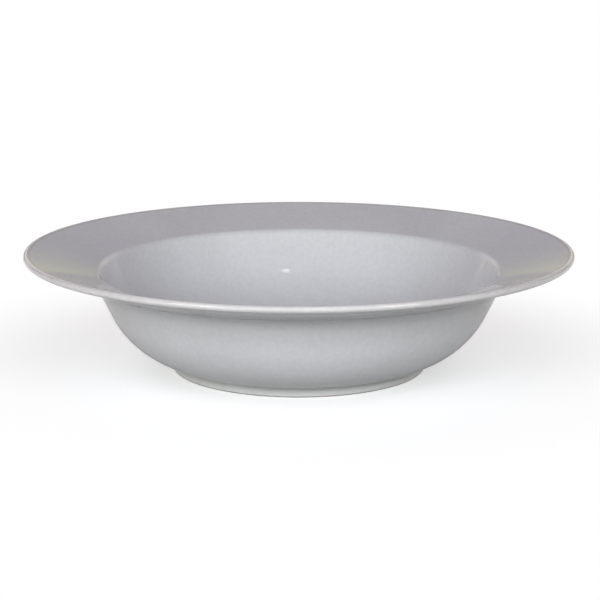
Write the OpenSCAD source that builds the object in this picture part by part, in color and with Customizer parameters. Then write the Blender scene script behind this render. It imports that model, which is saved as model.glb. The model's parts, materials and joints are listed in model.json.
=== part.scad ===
// Wide-rimmed salad bowl in glazed ceramic.
// Every piece is turned about the Z axis, and the bowl stands on z = 0.
// Sections are drawn as [radius, height].

/* [Rim] */
// Outer diameter over the rim edge
rim_d = 270; // [240:1:320]
// Height of the top of the rim edge above the table
bowl_h = 60; // [50:0.5:80]
// Rise of the rim, from the mouth of the well to the top of the rim edge
rim_rise = 10; // [4:0.5:20]
// Thickness of the rim where it leaves the wall
rim_root_t = 5.2; // [3:0.1:6]
// Diameter of the round bead along the rim edge
bead_d = 3.3; // [2.4:0.1:6]
// How far the bead stands out from each face of the rim
bead_lip = 0.1; // [0.05:0.05:0.6]
// Radius of the hollow that leads from the rim's faces into the bead
bead_hollow_r = 1.5; // [0.5:0.1:4]

/* [Well] */
// Diameter of the mouth, where the lines of the wall and the rim would cross
mouth_d = 198; // [184:1:220]
// Lean of the wall's straight upper part from the vertical
wall_lean = 26; // [15:1:34]
// Thickness of the wall's straight upper part
wall_t = 4; // [2.5:0.1:6]
// Radius of the curve from the floor of the well up into the wall
well_r = 43; // [20:1:60]
// Radius of the wall's outer curve, from the foot up to the straight part
belly_r = 45; // [30:1:80]
// Thickness of the floor of the well
floor_t = 4.7; // [3:0.1:8]
// Rounding of the crease where the wall turns out into the rim
crease_r = 5; // [1:0.5:10]
// Radius of the hollow where the wall's outer face turns out under the rim
under_rim_r = 14; // [4:0.5:18]

/* [Foot] */
// Outer diameter of the foot ring at the table
foot_d = 126; // [96:0.5:138]
// Height of the foot ring
foot_h = 4.8; // [4:0.1:8]
// Width of the foot ring at the table
foot_w = 5; // [4:0.1:9]
// Rounding of the foot ring's two lower edges
foot_edge_r = 0.8; // [0.4:0.1:1.6]
// How far the foot ring spreads outwards to meet the wall
foot_flare = 1.4; // [0.6:0.1:2.6]
// Radius of the cove in the foot ring's outer face
foot_cove_r = 4.5; // [0.5:0.1:6]

/* [Hidden] */

$fn = 180;
// Degrees of arc between the points of a rounded outline
arc_step = 4;

// Colours of the glaze as it shows on each piece
well_colour = [0.79, 0.81, 0.83];
rim_colour = [0.66, 0.64, 0.67];
bead_colour = [0.88, 0.88, 0.89];
foot_colour = [0.70, 0.70, 0.70];

function heading(a) = [cos(a), sin(a)];
function cross_of(u, v) = u.x * v.y - u.y * v.x;
function angle_of(v) = atan2(v.y, v.x);

// Point where the line through p at angle a crosses the line through q at angle b
function crossing(p, a, q, b) =
    p + heading(a) * cross_of(q - p, heading(b)) / cross_of(heading(a), heading(b));

// Points along an arc from angle a to angle b
function arc(centre, r, a, b) =
    let (steps = max(1, ceil(abs(b - a) / arc_step)))
    [for (i = [0:steps]) centre + r * heading(a + (b - a) * i / steps)];

// Turn of a path at q, on its way from p to s, to the left if positive
function turn_at(p, q, s) = atan2(cross_of(q - p, s - q), (q - p) * (s - q));

// Arc that rounds a path's corner at q, on its way from p to s
function rounding(p, q, s, r) =
    let (turn = turn_at(p, q, s))
    let (along = (q - p) / norm(q - p))
    let (start = q - along * r * tan(abs(turn) / 2))
    let (to_centre = sign(turn) * [-along.y, along.x])
    arc(start + r * to_centre, r, angle_of(-to_centre), angle_of(-to_centre) + turn);

// Rim lines: both faces run straight from the mouth to the bead and pass its centre at the same distance
bead_r = bead_d / 2;
rim_half_t = bead_r - bead_lip;
bead_c = [rim_d / 2 - bead_r, bowl_h - bead_r];
mouth = [mouth_d / 2, bowl_h - rim_rise];
rim_top_a = angle_of(bead_c - mouth) + asin(rim_half_t / norm(bead_c - mouth));
rim_root = mouth - rim_root_t * heading(rim_top_a + 90);
rim_under_a = angle_of(bead_c - rim_root) - asin(rim_half_t / norm(bead_c - rim_root));

// Wall lines: the inner face comes down from the mouth to the floor, the outer face lies wall_t outside it
wall_a = 90 - wall_lean;
floor_top = foot_h + floor_t;
floor_corner = crossing(mouth, wall_a, [0, floor_top], 0);
outer_mouth = mouth - wall_t * heading(wall_a + 90);
under_rim = crossing(outer_mouth, wall_a, rim_root, rim_under_a);

// The curve of the well ends below the crease and outside the axis
crease_length = crease_r * tan((wall_a - rim_top_a) / 2);
well_room = min(norm(mouth - floor_corner) - crease_length, floor_corner.x);
well_fit_r = min(well_r, well_room / tan(wall_a / 2));
flat_r = floor_corner.x - well_fit_r * tan(wall_a / 2);

// Foot lines: the outer face stands upright, then spreads at 45 degrees, and its roundings keep inside both
foot_r = foot_d / 2;
foot_inner_r = foot_r - foot_w;
foot_top = [foot_r + foot_flare, foot_h];
foot_upright = foot_h - foot_flare;
foot_edge_fit_r = min(foot_edge_r, foot_upright / 2);
foot_spread = norm([foot_flare, foot_flare]);
foot_cove_room = min(foot_upright - foot_edge_fit_r, foot_spread);
foot_cove_fit_r = min(foot_cove_r, foot_cove_room / tan(22.5));

// The floor's disc ends where the well starts to curve up, and never lies over the foot ring
floor_r = min(flat_r, foot_inner_r);
flat_margin = flat_r > floor_r ? [[floor_r, floor_top]] : [];

// The outer curve starts at the top of the foot ring and runs out into the wall's outer line
belly_depth = (outer_mouth - foot_top) * heading(wall_a - 90);
belly_reach = sqrt(belly_depth * (2 * belly_r - belly_depth));
belly_top = foot_top + belly_depth * heading(wall_a - 90) + belly_reach * heading(wall_a);
belly_c = belly_top + belly_r * heading(wall_a + 90);

// The hollow under the rim takes up to nine tenths of the wall's straight part
under_rim_room = 0.9 * norm(under_rim - belly_top);
under_rim_fit_r = min(under_rim_r, under_rim_room / tan((wall_a - rim_under_a) / 2));

// Hollows beside the bead: their centres lie back along the rim's faces, on a slope from the bead's centre
hollow_back = sqrt(pow(bead_r + bead_hollow_r, 2) - pow(rim_half_t + bead_hollow_r, 2));
hollow_a = atan2(rim_half_t + bead_hollow_r, hollow_back);
upper_hollow_c = bead_c + (bead_r + bead_hollow_r) * heading(rim_top_a + 180 - hollow_a);
lower_hollow_c = bead_c + (bead_r + bead_hollow_r) * heading(rim_under_a - 180 + hollow_a);

crease_arc = rounding(bead_c + rim_half_t * heading(rim_top_a + 90), mouth, floor_corner, crease_r);
rim_under_end = bead_c - rim_half_t * heading(rim_under_a + 90);
under_rim_arc = rounding(belly_top, under_rim, rim_under_end, under_rim_fit_r);
well_arc = rounding(mouth, floor_corner, [0, floor_top], well_fit_r);
upper_hollow = arc(upper_hollow_c, bead_hollow_r, rim_top_a - hollow_a, rim_top_a - 90);
lower_hollow = arc(lower_hollow_c, bead_hollow_r, rim_under_a + 90, rim_under_a + hollow_a);

module turned(outline) {
    rotate_extrude() polygon(outline);
}

// Flat disc in the middle of the well
module well_floor() {
    color(well_colour) translate([0, 0, foot_h]) cylinder(r = floor_r, h = floor_t);
}

// Round lower part of the wall, from the edge of the floor up to where each face runs straight
module well_belly() {
    color(well_colour) turned(concat(
        [[floor_r, foot_h]],
        arc(belly_c, belly_r, angle_of(foot_top - belly_c), wall_a - 90),
        well_arc,
        flat_margin
    ));
}

// Straight upper part of the wall, up to the far sides of the crease and of the hollow under the rim
module well_wall() {
    color(well_colour) turned(concat([belly_top], under_rim_arc, crease_arc, [well_arc[0]]));
}

// Broad sloping rim between the crease and the bead
module rim_flange() {
    color(rim_colour) turned([
        under_rim_arc[len(under_rim_arc) - 1],
        lower_hollow[0],
        upper_hollow[len(upper_hollow) - 1],
        crease_arc[0]
    ]);
}

// Round bead along the rim edge, with the hollows that lead into it
module rim_bead() {
    color(bead_colour) turned(concat(
        lower_hollow,
        arc(bead_c, bead_r, rim_under_a - 180 + hollow_a, rim_top_a + 180 - hollow_a),
        upper_hollow
    ));
}

// Foot ring, with rounded lower edges and a cove up to the wall
module foot_ring() {
    inner_top = [foot_inner_r, foot_h];
    inner_foot = [foot_inner_r, 0];
    outer_foot = [foot_r, 0];
    cove = [foot_r, foot_upright];
    color(foot_colour) turned(concat(
        [inner_top],
        rounding(inner_top, inner_foot, outer_foot, foot_edge_fit_r),
        rounding(inner_foot, outer_foot, cove, foot_edge_fit_r),
        rounding(outer_foot, cove, foot_top, foot_cove_fit_r),
        [foot_top]
    ));
}

well_floor();
well_belly();
well_wall();
rim_flange();
rim_bead();
foot_ring();
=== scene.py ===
import cmath
import json
import math

import bpy
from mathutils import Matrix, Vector


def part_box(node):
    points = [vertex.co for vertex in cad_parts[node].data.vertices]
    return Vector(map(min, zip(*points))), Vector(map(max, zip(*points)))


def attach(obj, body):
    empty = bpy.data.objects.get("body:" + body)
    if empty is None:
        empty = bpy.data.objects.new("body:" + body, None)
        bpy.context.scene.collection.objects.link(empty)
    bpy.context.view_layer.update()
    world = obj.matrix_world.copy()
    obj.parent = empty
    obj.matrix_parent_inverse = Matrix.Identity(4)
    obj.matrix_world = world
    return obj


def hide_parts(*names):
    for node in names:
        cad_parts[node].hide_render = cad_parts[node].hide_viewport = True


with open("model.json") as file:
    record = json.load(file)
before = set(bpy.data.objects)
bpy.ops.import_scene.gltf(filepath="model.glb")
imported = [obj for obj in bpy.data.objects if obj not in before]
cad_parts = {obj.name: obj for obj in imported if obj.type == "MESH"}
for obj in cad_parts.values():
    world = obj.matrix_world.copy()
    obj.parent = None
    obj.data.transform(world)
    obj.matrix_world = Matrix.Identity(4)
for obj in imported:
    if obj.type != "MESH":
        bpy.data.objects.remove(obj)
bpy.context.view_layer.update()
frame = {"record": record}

MM = 0.001
RIGHT_ANGLE = math.pi / 2

# Sizes that the frame gives
BEAD_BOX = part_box("rim_bead")
FLOOR_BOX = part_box("well_floor")
RIM_R = BEAD_BOX[1].x
BOWL_H = BEAD_BOX[1].z
FLOOR_R = FLOOR_BOX[1].x
FLOOR_TOP = FLOOR_BOX[1].z
FOOT_H = FLOOR_BOX[0].z
FOOT_TOP_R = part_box("foot_ring")[1].x

# Sizes of the section between them
MOUTH_R = 99 * MM
RIM_RISE = 10 * MM
RIM_ROOT_T = 5.2 * MM
BEAD_R = 1.65 * MM
BEAD_LIP = 0.1 * MM
BEAD_HOLLOW_R = 1.5 * MM
WALL_A = math.radians(64)
WALL_T = 4 * MM
BELLY_R = 45 * MM
CREASE_R = 5 * MM
UNDER_RIM_R = 14 * MM
FOOT_FLARE = 1.4 * MM
FOOT_W = 5 * MM
FOOT_EDGE_R = 0.8 * MM
FOOT_COVE_R = 4.5 * MM
GLAZE_T = 0.15 * MM

# Fineness of the turned meshes
SEGMENTS = 256
ARC_STEP = math.radians(3)
ARC_END = math.radians(0.1)
STRAIGHT_STEP = 3 * MM
ON_AXIS_R = 0.001 * MM
SHARP_ANGLE = math.radians(30)


def heading(angle):
    return cmath.rect(1, angle)


def cross(u, v):
    return (u.conjugate() * v).imag


def crossing(p, p_angle, q, q_angle):
    """Point where the line through p crosses the line through q."""
    along = heading(p_angle)
    return p + along * cross(q - p, heading(q_angle)) / cross(along, heading(q_angle))


def arc(centre, radius, start, end):
    """Points along an arc. A short first and last step keep the shading true where the next piece joins."""
    turn = end - start
    steps = max(1, math.ceil(abs(turn) / ARC_STEP))
    shares = [i / steps for i in range(steps + 1)]
    short = ARC_END / abs(turn)
    shares[1:1] = [short]
    shares[-1:-1] = [1 - short]
    return [centre + cmath.rect(radius, start + turn * share) for share in shares]


def rounding(before, corner, after, radius):
    """Arc that rounds the corner of a path."""
    along = (corner - before) / abs(corner - before)
    turn = cmath.phase((after - corner) / along)
    to_centre = along * 1j * math.copysign(1, turn)
    start = corner - along * radius * math.tan(abs(turn) / 2)
    start_angle = cmath.phase(-to_centre)
    return arc(start + radius * to_centre, radius, start_angle, start_angle + turn)


# Lines of the rim and the wall
BEAD_C = complex(RIM_R - BEAD_R, BOWL_H - BEAD_R)
MOUTH = complex(MOUTH_R, BOWL_H - RIM_RISE)
RIM_HALF_T = BEAD_R - BEAD_LIP
RIM_TOP_A = cmath.phase(BEAD_C - MOUTH) + math.asin(RIM_HALF_T / abs(BEAD_C - MOUTH))
RIM_ROOT = MOUTH - RIM_ROOT_T * heading(RIM_TOP_A + RIGHT_ANGLE)
RIM_UNDER_A = cmath.phase(BEAD_C - RIM_ROOT) - math.asin(RIM_HALF_T / abs(BEAD_C - RIM_ROOT))
FLOOR_MIDDLE = complex(0, FLOOR_TOP)
FLOOR_CORNER = crossing(MOUTH, WALL_A, FLOOR_MIDDLE, 0)
WELL_R = (FLOOR_CORNER.real - FLOOR_R) / math.tan(WALL_A / 2)
OUTER_MOUTH = MOUTH - WALL_T * heading(WALL_A + RIGHT_ANGLE)
UNDER_RIM = crossing(OUTER_MOUTH, WALL_A, RIM_ROOT, RIM_UNDER_A)

# Lines of the belly and the foot
FOOT_TOP = complex(FOOT_TOP_R, FOOT_H)
FOOT_R = FOOT_TOP_R - FOOT_FLARE
FOOT_INNER_R = FOOT_R - FOOT_W
WALL_OUT = heading(WALL_A - RIGHT_ANGLE)
BELLY_DEPTH = ((OUTER_MOUTH - FOOT_TOP) * WALL_OUT.conjugate()).real
BELLY_REACH = math.sqrt(BELLY_DEPTH * (2 * BELLY_R - BELLY_DEPTH))
BELLY_TOP = FOOT_TOP + BELLY_DEPTH * WALL_OUT + BELLY_REACH * heading(WALL_A)
BELLY_C = BELLY_TOP - BELLY_R * WALL_OUT

# Hollows beside the bead, and the rounded corners of the section
HOLLOW_REACH = BEAD_R + BEAD_HOLLOW_R
HOLLOW_A = math.asin((RIM_HALF_T + BEAD_HOLLOW_R) / HOLLOW_REACH)
UPPER_HOLLOW_A = RIM_TOP_A + math.pi - HOLLOW_A
LOWER_HOLLOW_A = RIM_UNDER_A - math.pi + HOLLOW_A
UPPER_HOLLOW = arc(BEAD_C + HOLLOW_REACH * heading(UPPER_HOLLOW_A), BEAD_HOLLOW_R,
                   UPPER_HOLLOW_A - math.pi, RIM_TOP_A - RIGHT_ANGLE)
LOWER_HOLLOW = arc(BEAD_C + HOLLOW_REACH * heading(LOWER_HOLLOW_A), BEAD_HOLLOW_R,
                   RIM_UNDER_A + RIGHT_ANGLE, LOWER_HOLLOW_A + math.pi)
CREASE = rounding(UPPER_HOLLOW[-1], MOUTH, FLOOR_CORNER, CREASE_R)
UNDER_RIM_HOLLOW = rounding(BELLY_TOP, UNDER_RIM, LOWER_HOLLOW[0], UNDER_RIM_R)
WELL = rounding(MOUTH, FLOOR_CORNER, FLOOR_MIDDLE, WELL_R)


def floor_outline():
    return [complex(0, FOOT_H), complex(FLOOR_R, FOOT_H), complex(FLOOR_R, FLOOR_TOP), FLOOR_MIDDLE]


def belly_outline():
    belly = arc(BELLY_C, BELLY_R, cmath.phase(FOOT_TOP - BELLY_C), WALL_A - RIGHT_ANGLE)
    return [complex(FLOOR_R, FOOT_H)] + belly + WELL


def wall_outline():
    return [BELLY_TOP] + UNDER_RIM_HOLLOW + CREASE + [WELL[0]]


def rim_outline():
    return [UNDER_RIM_HOLLOW[-1], LOWER_HOLLOW[0], UPPER_HOLLOW[-1], CREASE[0]]


def bead_outline():
    return LOWER_HOLLOW + arc(BEAD_C, BEAD_R, LOWER_HOLLOW_A, UPPER_HOLLOW_A) + UPPER_HOLLOW


def foot_runs(glaze, clay):
    """Foot ring whose lower edges and standing face are bare clay, one glaze thickness inside the glaze."""
    inner_top = complex(FOOT_INNER_R, FOOT_H)
    inner_stop = complex(FOOT_INNER_R + GLAZE_T, FOOT_EDGE_R)
    outer_stop = complex(FOOT_R - GLAZE_T, FOOT_EDGE_R)
    inner_foot = complex(inner_stop.real, 0)
    outer_foot = complex(outer_stop.real, 0)
    cove_corner = complex(FOOT_R, FOOT_H - FOOT_FLARE)
    bare_r = FOOT_EDGE_R - 2 * GLAZE_T
    inner_lip = arc(inner_stop, GLAZE_T, math.pi, 3 * RIGHT_ANGLE)
    outer_lip = arc(outer_stop, GLAZE_T, -RIGHT_ANGLE, 0)
    bare = (rounding(inner_stop, inner_foot, outer_foot, bare_r)
            + rounding(inner_foot, outer_foot, outer_stop, bare_r))
    cove = rounding(outer_lip[-1], cove_corner, FOOT_TOP, FOOT_COVE_R)
    return [([inner_top] + inner_lip[:-1], glaze), (inner_lip[-1:] + bare, clay),
            (outer_lip + cove + [FOOT_TOP], glaze)]


def with_straights(outline):
    """The outline with points added along its long straight stretches."""
    points = []
    for p, q in zip(outline, outline[1:] + outline[:1]):
        steps = max(1, math.ceil(abs(q - p) / STRAIGHT_STEP))
        points += [p + (q - p) * i / steps for i in range(steps)]
    return points


def turned_rings(points):
    """Vertices of the rings that the points draw round the axis, and the vertex numbers along each ring."""
    vertices = []
    rings = []
    for point in points:
        on_axis = point.real < ON_AXIS_R
        first = len(vertices)
        for i in range(1 if on_axis else SEGMENTS):
            turn = 2 * math.pi * i / SEGMENTS
            vertices.append((point.real * math.cos(turn), point.real * math.sin(turn), point.imag))
        rings.append([first] * (SEGMENTS + 1) if on_axis else [*range(first, first + SEGMENTS), first])
    return vertices, rings


def band_faces(ring, next_ring):
    """Faces between two rings: triangles where one ring is a point on the axis, none where both are."""
    faces = []
    for i in range(SEGMENTS):
        corners = dict.fromkeys((ring[i], ring[i + 1], next_ring[i + 1], next_ring[i]))
        if len(corners) > 2:
            faces.append(tuple(corners))
    return faces


def turned_piece(name, runs):
    """Closed mesh of revolution. runs lists stretches of the outline, anticlockwise, with their materials.

    Only a piece of one run gets points along its straights.
    """
    points = []
    surfaces = []
    for outline, material in runs:
        stretch = outline if len(runs) > 1 else with_straights(outline)
        points += stretch
        surfaces += [material] * len(stretch)
    materials = list(dict.fromkeys(surfaces))
    vertices, rings = turned_rings(points)
    faces = []
    face_materials = []
    for ring, next_ring, surface in zip(rings, rings[1:] + rings[:1], surfaces):
        band = band_faces(ring, next_ring)
        faces += band
        face_materials += [materials.index(surface)] * len(band)
    mesh = bpy.data.meshes.new(name)
    mesh.from_pydata(vertices, [], faces)
    for material in materials:
        mesh.materials.append(material)
    mesh.polygons.foreach_set("material_index", face_materials)
    mesh.shade_smooth()
    mesh.set_sharp_from_angle(angle=SHARP_ANGLE)
    piece = bpy.data.objects.new(name, mesh)
    bpy.context.scene.collection.objects.link(piece)
    return piece


def put(tree, socket, value):
    """Links the value to the socket if it is a node's output, and otherwise sets it there."""
    if isinstance(value, bpy.types.NodeSocket):
        tree.links.new(value, socket)
    else:
        socket.default_value = value


def add_node(tree, kind, inputs=None, **settings):
    node = tree.nodes.new(kind)
    for key, value in settings.items():
        setattr(node, key, value)
    for key, value in (inputs or {}).items():
        put(tree, node.inputs[key], value)
    return node


def calc(tree, operation, a, b=0.0):
    return add_node(tree, "ShaderNodeMath", {0: a, 1: b}, operation=operation).outputs[0]


def vector_calc(tree, operation, inputs):
    return add_node(tree, "ShaderNodeVectorMath", inputs, operation=operation).outputs


def parts_of(tree, vector):
    return add_node(tree, "ShaderNodeSeparateXYZ", {0: vector}).outputs


def vector_of(tree, x, y=0.0):
    return add_node(tree, "ShaderNodeCombineXYZ", {0: x, 1: y}).outputs[0]


def fade(tree, value, start, end, low=0.0, high=1.0):
    """low where the value is at start, high where it is at end, and smooth between."""
    inputs = {"Value": value, "From Min": start, "From Max": end, "To Min": low, "To Max": high}
    return add_node(tree, "ShaderNodeMapRange", inputs, interpolation_type="SMOOTHSTEP").outputs["Result"]


def noise(tree, point, size, detail=2.0):
    """Noise whose blotches are about that size."""
    inputs = {"Vector": point, "Scale": 1 / size, "Detail": detail}
    return add_node(tree, "ShaderNodeTexNoise", inputs).outputs["Fac"]


# Places of a Mix node's colour sockets, which share their names with its other sockets
MIX_FACTOR = 0
MIX_FIRST = 6
MIX_SECOND = 7
MIX_RESULT = 2


def blend_colour(tree, factor, colour, other):
    inputs = {MIX_FACTOR: factor, MIX_FIRST: colour, MIX_SECOND: other}
    return add_node(tree, "ShaderNodeMix", inputs, data_type="RGBA").outputs[MIX_RESULT]


def new_material(name):
    material = bpy.data.materials.new(name)
    material.use_nodes = True
    return material, material.node_tree


def coordinates(tree, kind):
    return add_node(tree, "ShaderNodeTexCoord").outputs[kind]


def section_point(tree, point):
    """Radius and height of the shaded point, as a vector."""
    x, y, height = parts_of(tree, point)
    radius = vector_calc(tree, "LENGTH", {0: vector_of(tree, x, y)})["Value"]
    return vector_of(tree, radius, height)


def distance_to_ring(tree, section, ring):
    """Distance from the shaded point to a circle round the axis, given by its place in the section."""
    return vector_calc(tree, "DISTANCE", {0: section, 1: (ring.real, ring.imag, 0)})["Value"]


def rgba(colour):
    return (*colour, 1)


# Colours of the slots, and how far from the bead's middle the edge's thin glaze reaches
SLOT_COLOURS = {row["slot"]: row["base_color"] for row in frame["record"]["materials"]}
THIN_REACH = 2.4 * MM

# Rings that darken the coat, each with its place in the section, its reach and how much it darkens: pooled
# glaze with painted shade at the foot's joint, a darker hollow beside the bead, and painted shade under the
# rim.
# The last lies UNDER_RIM_OUT outside its hollow. It darkens in full where the normal's height is DOWNWARDS.
FOOT_POOL_AND_SHADE = (FOOT_TOP, 6 * MM, 0.07)
EDGE_HOLLOW_DARKENING = (UPPER_HOLLOW[len(UPPER_HOLLOW) // 2], 1.2 * MM, 0.14)
# Painted shade under the rim, round a ring that lies below the rim's underside
UNDER_RIM_OUT = 7 * MM
UNDER_RIM_PAINTED_SHADE = (UNDER_RIM_HOLLOW[-1] + UNDER_RIM_OUT * heading(RIM_UNDER_A), 14 * MM, 0.3)
DOWNWARDS = -0.4

# Grain of the glaze: shades as shares of the colour, and the heights of its uneven coat
CLOUD_SIZE = 45 * MM
CLOUD_SHADE = 0.02
MOTTLE_SIZE = 2.4 * MM
MOTTLE_SHADE = 0.03
SPECK_SPACING = 9 * MM
SPECK_R = 0.3 * MM
SPECK_SHADE = 0.22
RING_PITCH = 6 * MM
RING_WOBBLE = 3 * MM
RING_DEPTH = 0.005 * MM
PEEL_SIZE = 4 * MM
PEEL_DEPTH = 0.003 * MM
GLAZE_ROUGHNESS = (0.045, 0.075)

# Grain of the bare clay, with its colour darkened as painted shade for the dark contact line along the
# foot's bottom edge
CLAY_COLOUR_WITH_PAINTED_SHADE = (0.38, 0.365, 0.34, 1)
SCUFF_COLOUR = (0.29, 0.28, 0.265, 1)
SCUFF_SIZE = 9 * MM
GRAIN_SIZE = 0.5 * MM
GRAIN_DEPTH = 0.03 * MM
CLAY_ROUGHNESS = (0.75, 0.95)

# Range that most of the noise lies in
NOISE_LOW = 0.3
NOISE_HIGH = 0.7


def spread(tree, value, low, high):
    """Noise brought to the range from low to high."""
    return fade(tree, value, NOISE_LOW, NOISE_HIGH, low, high)


def glaze_colour(tree, point, section, slot):
    """Colour of the coat: the edge's where the glaze is thin, at the bead and above the bare clay."""
    if slot == "foot_glaze":
        thin = fade(tree, parts_of(tree, point)["Z"], 2 * FOOT_EDGE_R, FOOT_EDGE_R)
        full = SLOT_COLOURS["foot_glaze"]
    else:
        thin = fade(tree, distance_to_ring(tree, section, BEAD_C), THIN_REACH, BEAD_R)
        full = SLOT_COLOURS["glaze"]
    return blend_colour(tree, thin, rgba(full), rgba(SLOT_COLOURS["edge_glaze"]))


def specks(tree, point):
    """1 on small iron specks under the glaze, 0 elsewhere."""
    inputs = {"Vector": point, "Scale": 1 / SPECK_SPACING}
    reach = add_node(tree, "ShaderNodeTexVoronoi", inputs).outputs["Distance"]
    speck_edge = SPECK_R / SPECK_SPACING
    return fade(tree, reach, speck_edge, speck_edge / 2)


def ring_darkening(tree, section, ring, reach, depth):
    """How much the coat darkens round a ring: darker glaze and painted shade in the hollows, and painted
    shade under the rim.
    """
    return fade(tree, distance_to_ring(tree, section, ring), reach, 0, 0, depth)


def glaze_shade(tree, point, section, mottle):
    """Factor on the colour: clouds, mottling, specks, pooled glaze and painted shade at the foot's joint, a
    darker hollow beside the bead, and painted shade under the rim.

    The painted shade under the rim reaches through the rim, so it counts only on faces that look down.
    """
    cloud = spread(tree, noise(tree, point, CLOUD_SIZE), 1 - CLOUD_SHADE, 1 + CLOUD_SHADE)
    fine = spread(tree, mottle, -MOTTLE_SHADE, MOTTLE_SHADE)
    spotted = calc(tree, "MULTIPLY", specks(tree, point), SPECK_SHADE)
    shade = calc(tree, "SUBTRACT", calc(tree, "ADD", cloud, fine), spotted)
    for pool in (FOOT_POOL_AND_SHADE, EDGE_HOLLOW_DARKENING):
        shade = calc(tree, "SUBTRACT", shade, ring_darkening(tree, section, *pool))
    upwards = parts_of(tree, coordinates(tree, "Normal"))["Z"]
    looks_down = fade(tree, upwards, 0, DOWNWARDS)
    # Painted shade under the rim, on faces that look down
    painted_under_rim_shade = calc(tree, "MULTIPLY", looks_down, ring_darkening(tree, section, *UNDER_RIM_PAINTED_SHADE))
    return calc(tree, "SUBTRACT", shade, painted_under_rim_shade)


def glaze_height(tree, point, section):
    """Unevenness of the coat: uneven turning rings along the section, and orange peel."""
    radius, height, _ = parts_of(tree, section)
    along = calc(tree, "ADD", radius, height)
    wobble = calc(tree, "MULTIPLY", noise(tree, point, CLOUD_SIZE), RING_WOBBLE)
    line = vector_of(tree, calc(tree, "ADD", along, wobble))
    rings = calc(tree, "MULTIPLY", noise(tree, line, RING_PITCH, detail=1), RING_DEPTH)
    peel = calc(tree, "MULTIPLY", noise(tree, point, PEEL_SIZE, detail=1), PEEL_DEPTH)
    return calc(tree, "ADD", rings, peel)


def glazed(slot):
    """Glossy glaze of one slot."""
    material, tree = new_material(slot)
    shader = tree.nodes["Principled BSDF"]
    point = coordinates(tree, "Object")
    section = section_point(tree, point)
    mottle = noise(tree, point, MOTTLE_SIZE, detail=4)
    colour = glaze_colour(tree, point, section, slot)
    shade = glaze_shade(tree, point, section, mottle)
    height = glaze_height(tree, point, section)
    uneven = add_node(tree, "ShaderNodeBump", {"Height": height, "Distance": 1.0})
    put(tree, shader.inputs["Base Color"], vector_calc(tree, "SCALE", {0: colour, "Scale": shade})[0])
    put(tree, shader.inputs["Roughness"], spread(tree, mottle, *GLAZE_ROUGHNESS))
    put(tree, shader.inputs["Normal"], uneven.outputs[0])
    return material


def bare_clay():
    """Unglazed ground clay of the standing ring: matt, finely grained and a little scuffed, its colour
    darkened as painted shade for the contact line.
    """
    material, tree = new_material("bare_clay")
    shader = tree.nodes["Principled BSDF"]
    point = coordinates(tree, "Object")
    grain = noise(tree, point, GRAIN_SIZE, detail=3)
    scuff = spread(tree, noise(tree, point, SCUFF_SIZE, detail=4), 0, 1)
    uneven = add_node(tree, "ShaderNodeBump", {"Height": grain, "Distance": GRAIN_DEPTH})
    put(tree, shader.inputs["Base Color"], blend_colour(tree, scuff, CLAY_COLOUR_WITH_PAINTED_SHADE, SCUFF_COLOUR))
    put(tree, shader.inputs["Roughness"], spread(tree, grain, *CLAY_ROUGHNESS))
    put(tree, shader.inputs["Normal"], uneven.outputs[0])
    return material


def make_bowl():
    """Builds the six pieces, each over the CAD node that it stands for."""
    glaze = glazed("glaze")
    edge_glaze = glazed("edge_glaze")
    foot_glaze = glazed("foot_glaze")
    clay = bare_clay()
    made = [
        ("bowl_floor", "well_floor", "glaze", [(floor_outline(), glaze)]),
        ("bowl_belly", "well_belly", "glaze", [(belly_outline(), glaze)]),
        ("bowl_wall", "well_wall", "glaze", [(wall_outline(), glaze)]),
        ("bowl_rim", "rim_flange", "glaze", [(rim_outline(), glaze)]),
        ("bowl_bead", "rim_bead", "edge_glaze", [(bead_outline(), edge_glaze)]),
        ("bowl_foot", "foot_ring", "foot_glaze", foot_runs(foot_glaze, clay)),
    ]
    for name, node, slot, runs in made:
        piece = turned_piece(name, runs)
        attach(piece, "root")
        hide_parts(node)


# The floor shows the bowl's shadow in full as far as SHADOW_R, and is plain white from WHITE_R on.
# FLOOR_LIFT is light that it adds for the camera.
STAGE_R = 9.0
STAGE_SIDES = 96
SHADOW_R = 90 * MM
WHITE_R = 240 * MM
WHITE = (1, 1, 1, 1)
FLOOR_PALE = (0.86, 0.86, 0.86, 1)
FLOOR_LIFT = 0.38

# What the floor throws back at the bowl: most at NEAR_R, least inside UNDER_R and beyond BESIDE_R
UNDER_R = 68 * MM
NEAR_R = 100 * MM
BESIDE_R = 165 * MM
NEAR_BOUNCE = (0.42, 0.42, 0.42, 1)
FAR_BOUNCE = (0.22, 0.22, 0.22, 1)


def floor_as_seen(tree, camera_ray, reach):
    """Pale floor with the bowl's shadow, which fades to white further out."""
    lift = calc(tree, "MULTIPLY", camera_ray, FLOOR_LIFT)
    pale = add_node(tree, "ShaderNodeBsdfDiffuse", {"Color": FLOOR_PALE})
    glow = add_node(tree, "ShaderNodeEmission", {"Color": WHITE, "Strength": lift})
    near = add_node(tree, "ShaderNodeAddShader", {0: pale.outputs[0], 1: glow.outputs[0]})
    white = add_node(tree, "ShaderNodeEmission", {"Color": WHITE, "Strength": 1.0})
    inputs = {0: fade(tree, reach, SHADOW_R, WHITE_R), 1: near.outputs[0], 2: white.outputs[0]}
    return add_node(tree, "ShaderNodeMixShader", inputs).outputs[0]


def floor_bounce(tree, reach):
    """Greyer floor for the light that it throws back up at the bowl."""
    beside = calc(tree, "MULTIPLY", fade(tree, reach, UNDER_R, NEAR_R), fade(tree, reach, BESIDE_R, NEAR_R))
    returned = blend_colour(tree, beside, FAR_BOUNCE, NEAR_BOUNCE)
    return add_node(tree, "ShaderNodeBsdfDiffuse", {"Color": returned}).outputs[0]


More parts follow.
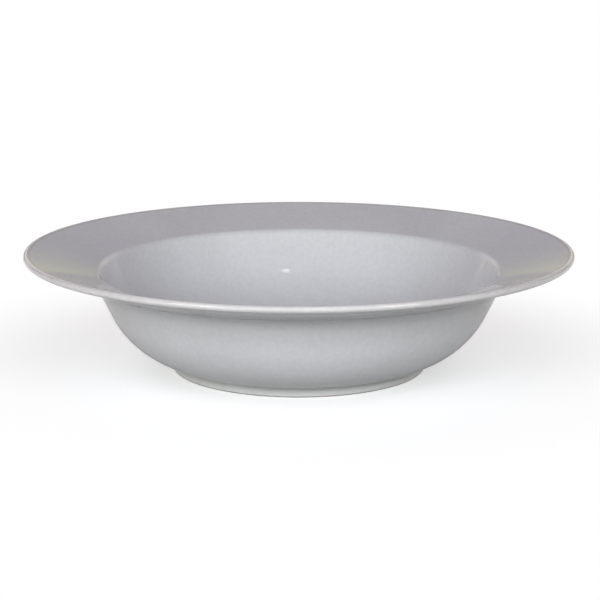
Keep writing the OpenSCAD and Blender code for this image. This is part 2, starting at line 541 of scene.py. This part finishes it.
def stage_material():
    """White floor that keeps the bowl's shadow, and that throws little light back up at the bowl."""
    material, tree = new_material("stage_white")
    tree.nodes.remove(tree.nodes["Principled BSDF"])
    path = add_node(tree, "ShaderNodeLightPath").outputs
    mirrored = calc(tree, "MAXIMUM", path["Is Glossy Ray"], path["Is Transmission Ray"])
    seen = calc(tree, "MAXIMUM", path["Is Camera Ray"], mirrored)
    reach = vector_calc(tree, "LENGTH", {0: coordinates(tree, "Object")})["Value"]
    inputs = {0: seen, 1: floor_bounce(tree, reach), 2: floor_as_seen(tree, path["Is Camera Ray"], reach)}
    final = add_node(tree, "ShaderNodeMixShader", inputs)
    put(tree, tree.nodes["Material Output"].inputs["Surface"], final.outputs[0])
    return material


def make_stage():
    bpy.ops.mesh.primitive_circle_add(vertices=STAGE_SIDES, radius=STAGE_R, fill_type="NGON")
    stage = bpy.context.object
    stage.name = "stage_floor"
    stage.data.materials.append(stage_material())


# Surroundings: the horizon's colour passes into the sky's over the first 24 degrees
SKY_COLOUR = (0.195, 0.156, 0.190, 1)
HORIZON_COLOUR = (0.46, 0.44, 0.32, 1)
HORIZON_RISE = math.sin(math.radians(24))

# Lamps stand round the bowl's middle, all at one distance
LIT_POINT = Vector((0, 0, BOWL_H / 2))
LAMP_DISTANCE = 1.5
KEY_TINT = (1.04, 1.0, 0.97)
FRONT_TINT = (0.89, 1.07, 1.10)
LOW_TINT = (1.05, 1.0, 0.99)


def make_world():
    world = bpy.data.worlds.new("studio")
    world.use_nodes = True
    tree = world.node_tree
    upwards = parts_of(tree, coordinates(tree, "Generated"))["Z"]
    colour = blend_colour(tree, fade(tree, upwards, 0, HORIZON_RISE), HORIZON_COLOUR, SKY_COLOUR)
    put(tree, tree.nodes["Background"].inputs["Color"], colour)
    bpy.context.scene.world = world


def lamp_side(degrees):
    """Length that looks so many degrees long from the bowl."""
    return 2 * LAMP_DISTANCE * math.tan(math.radians(degrees / 2))


def make_lamp(name, azimuth, elevation, width, height, radiance, tint, shines=True):
    """Soft rectangular lamp that faces the bowl, placed and sized in degrees as the bowl sees it.

    Azimuth counts from the camera's side to the right. A white surface that saw nothing but the lamp would
    look as bright as the radiance says. A lamp that doesn't shine shows in no reflection.
    """
    light = bpy.data.lights.new(name, "AREA")
    light.shape = "RECTANGLE"
    light.size = lamp_side(width)
    light.size_y = lamp_side(height)
    light.color = tint
    light.energy = radiance * math.pi * light.size * light.size_y
    lamp = bpy.data.objects.new(name, light)
    turn = math.radians(azimuth)
    lift = math.radians(elevation)
    level = math.cos(lift)
    towards = Vector((math.sin(turn) * level, -math.cos(turn) * level, math.sin(lift)))
    lamp.location = LIT_POINT + LAMP_DISTANCE * towards
    lamp.rotation_euler = towards.to_track_quat("Z", "Y").to_euler()
    lamp.visible_camera = False
    lamp.visible_glossy = shines
    bpy.context.scene.collection.objects.link(lamp)


def make_lamps():
    make_lamp("key_left", azimuth=-41, elevation=22, width=18, height=17, radiance=7.2, tint=KEY_TINT)
    make_lamp("key_right", azimuth=41, elevation=22, width=15, height=17, radiance=9.0, tint=KEY_TINT)
    make_lamp("front_panel", azimuth=0, elevation=25, width=72, height=14, radiance=3.65, tint=FRONT_TINT)
    make_lamp("wide_panel", azimuth=-6, elevation=14, width=112, height=11, radiance=1.35, tint=FRONT_TINT)
    make_lamp("left_panel", azimuth=-36, elevation=14, width=48, height=11, radiance=2.5, tint=LOW_TINT)
    make_lamp("low_panel", azimuth=-36, elevation=4, width=48, height=11, radiance=1.35, tint=LOW_TINT)
    make_lamp("low_front", azimuth=0, elevation=4, width=24, height=11, radiance=4.2, tint=LOW_TINT)
    make_lamp("right_panel", azimuth=80, elevation=14, width=36, height=16, radiance=0.3, tint=LOW_TINT)
    make_lamp("back_panel", azimuth=180, elevation=16, width=44, height=36, radiance=0.12, tint=FRONT_TINT)
    make_lamp("back_left", azimuth=-157, elevation=19, width=26, height=20, radiance=0.55, tint=KEY_TINT)
    make_lamp("back_right", azimuth=157, elevation=19, width=26, height=20, radiance=0.55, tint=KEY_TINT)
    make_lamp("small_lamp", azimuth=12, elevation=55.5, width=4, height=6, radiance=5.5, tint=KEY_TINT)
    make_lamp("back_fill", azimuth=180, elevation=4, width=110, height=9, radiance=8.5, tint=KEY_TINT,
              shines=False)


# The main view's camera, with its lens in millimetres
CAMERA_PLACE = (0, -0.87531, 0.22818)
CAMERA_TILT = math.radians(77.419)
CAMERA_TURN = math.radians(-0.036)
CAMERA_LENS = 108.14


def make_camera():
    data = bpy.data.cameras.new("camera")
    data.lens = CAMERA_LENS
    camera = bpy.data.objects.new("camera", data)
    camera.location = CAMERA_PLACE
    camera.rotation_euler = (CAMERA_TILT, 0, CAMERA_TURN)
    bpy.context.scene.collection.objects.link(camera)
    bpy.context.scene.camera = camera


make_bowl()
make_stage()
make_world()
make_lamps()
make_camera()
bpy.context.scene.view_settings.view_transform = "Standard"
bpy.context.view_layer.update()
